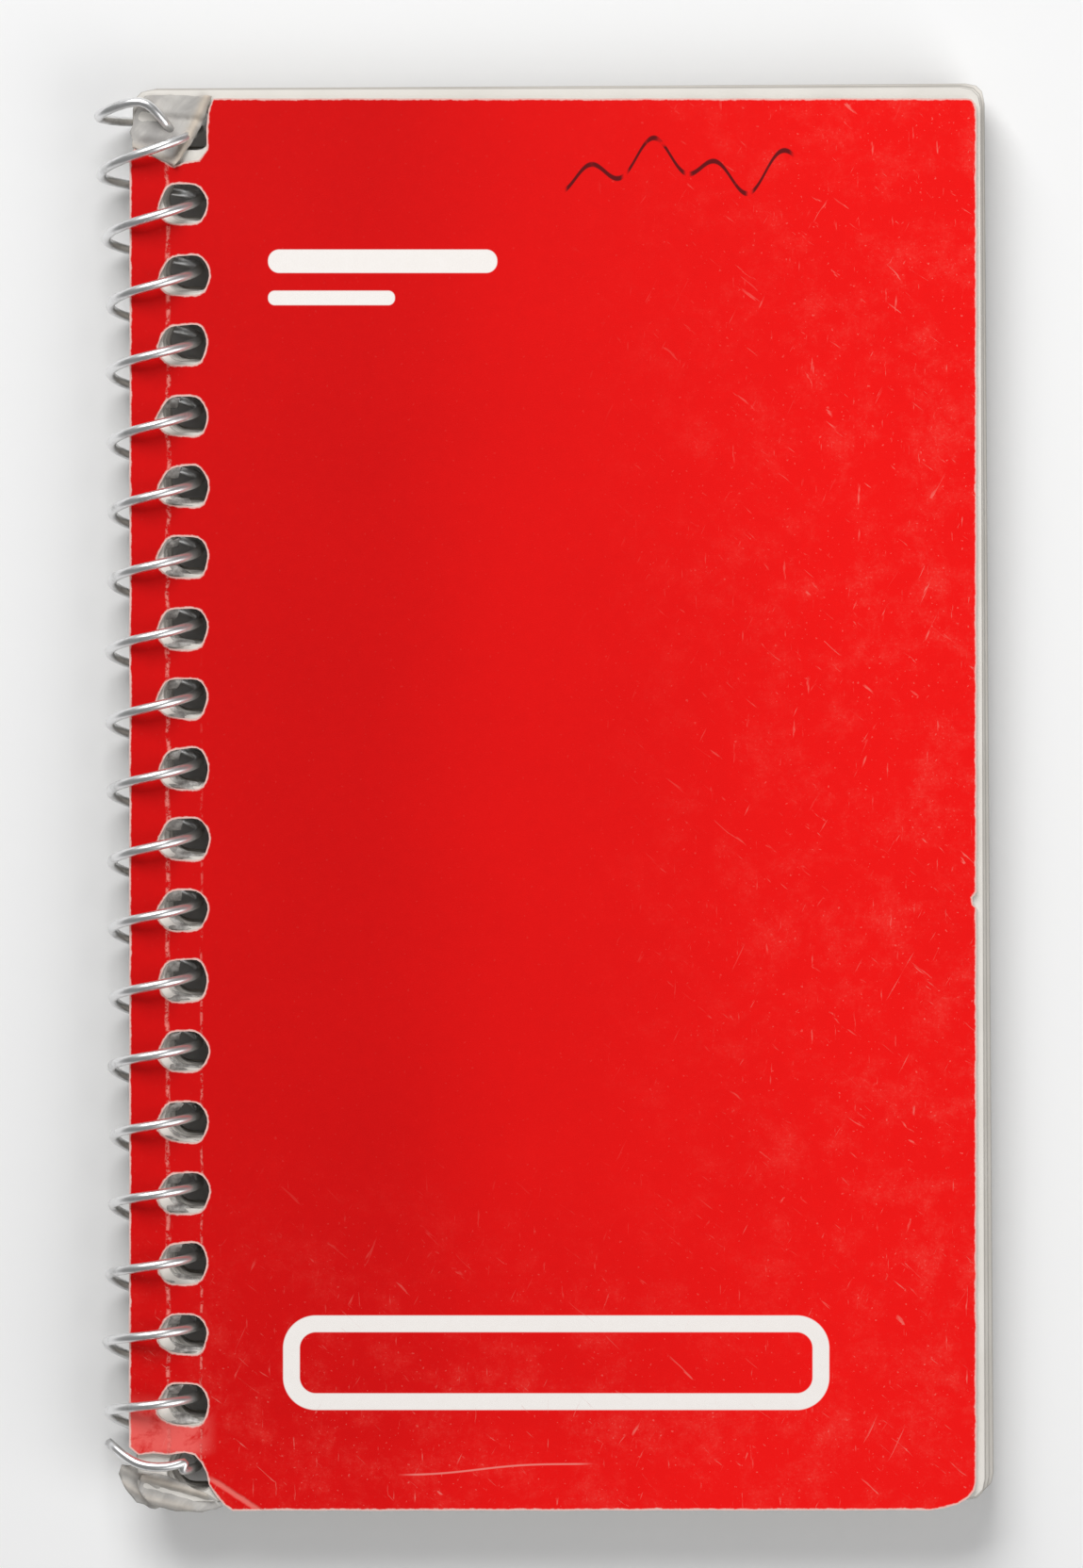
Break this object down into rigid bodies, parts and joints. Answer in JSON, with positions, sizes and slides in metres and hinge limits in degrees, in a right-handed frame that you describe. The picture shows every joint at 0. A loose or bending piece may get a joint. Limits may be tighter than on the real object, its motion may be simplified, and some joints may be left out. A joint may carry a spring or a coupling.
{
  "type": "coil-bound pocket notebook",
  "caption": "Small coil-bound memo pad with a red card cover, ruled sheets and a stiff board back, held by a round wire coil through rounded square holes.",
  "frame": {"origin": "centre of the footprint, on the surface the notebook lies on", "axes": "+Z out of the front cover, +Y towards the head of the page, the coil along the -X side"},
  "size_m": [0.0794, 0.128, 0.0088],
  "materials": {
    "red_card": "coated",
    "board": "matte",
    "paper": "matte",
    "steel_wire": "satin"
  },
  "bodies": {
    "back": {"back_cover": "board", "front_cover_bound_edge": "red_card", "sheet_edges_1": "paper", "sheet_edges_2": "paper", "sheet_edges_3": "paper", "sheet_edges_4": "paper", "sheet_edges_5": "paper", "sheet_edges_6": "paper"},
    "front_cover": {"front_cover_panel": "red_card"},
    "coil": {"coil": "steel_wire"},
    "pages_1": {"sheets_1": "paper"},
    "pages_2": {"sheets_2": "paper"},
    "pages_3": {"sheets_3": "paper"},
    "pages_4": {"sheets_4": "paper"},
    "pages_5": {"sheets_5": "paper"},
    "pages_6": {"sheets_6": "paper"}
  },
  "joints": [
    {"name": "front_cover_turn", "type": "hinge", "parent": "back", "child": "front_cover", "pos_m": [-0.02845, 0, 0.00706], "axis": [0, -1, 0], "range_deg": [0, 160]},
    {"name": "sheets_1_turn", "type": "hinge", "parent": "back", "child": "pages_1", "pos_m": [-0.02845, 0, 0.00706], "axis": [0, -1, 0], "range_deg": [0, 137.6]},
    {"name": "sheets_2_turn", "type": "hinge", "parent": "back", "child": "pages_2", "pos_m": [-0.02845, 0, 0.00706], "axis": [0, -1, 0], "range_deg": [0, 114.8]},
    {"name": "sheets_3_turn", "type": "hinge", "parent": "back", "child": "pages_3", "pos_m": [-0.02845, 0, 0.00706], "axis": [0, -1, 0], "range_deg": [0, 91.9]},
    {"name": "sheets_4_turn", "type": "hinge", "parent": "back", "child": "pages_4", "pos_m": [-0.02845, 0, 0.00706], "axis": [0, -1, 0], "range_deg": [0, 69.1]},
    {"name": "sheets_5_turn", "type": "hinge", "parent": "back", "child": "pages_5", "pos_m": [-0.02845, 0, 0.00706], "axis": [0, -1, 0], "range_deg": [0, 46.2]},
    {"name": "sheets_6_turn", "type": "hinge", "parent": "back", "child": "pages_6", "pos_m": [-0.02845, 0, 0.00706], "axis": [0, -1, 0], "range_deg": [0, 23.4]},
    {"name": "coil_play", "type": "slide", "parent": "back", "child": "coil", "axis": [0, 1, 0], "range_m": [-0.0008, 0.0001]}
  ],
  "couplings": [
    {"joint": "sheets_1_turn", "follows": "front_cover_turn", "ratio": 0.8571},
    {"joint": "sheets_2_turn", "follows": "front_cover_turn", "ratio": 0.7143},
    {"joint": "sheets_3_turn", "follows": "front_cover_turn", "ratio": 0.5714},
    {"joint": "sheets_4_turn", "follows": "front_cover_turn", "ratio": 0.4286},
    {"joint": "sheets_5_turn", "follows": "front_cover_turn", "ratio": 0.2857},
    {"joint": "sheets_6_turn", "follows": "front_cover_turn", "ratio": 0.1429}
  ]
}
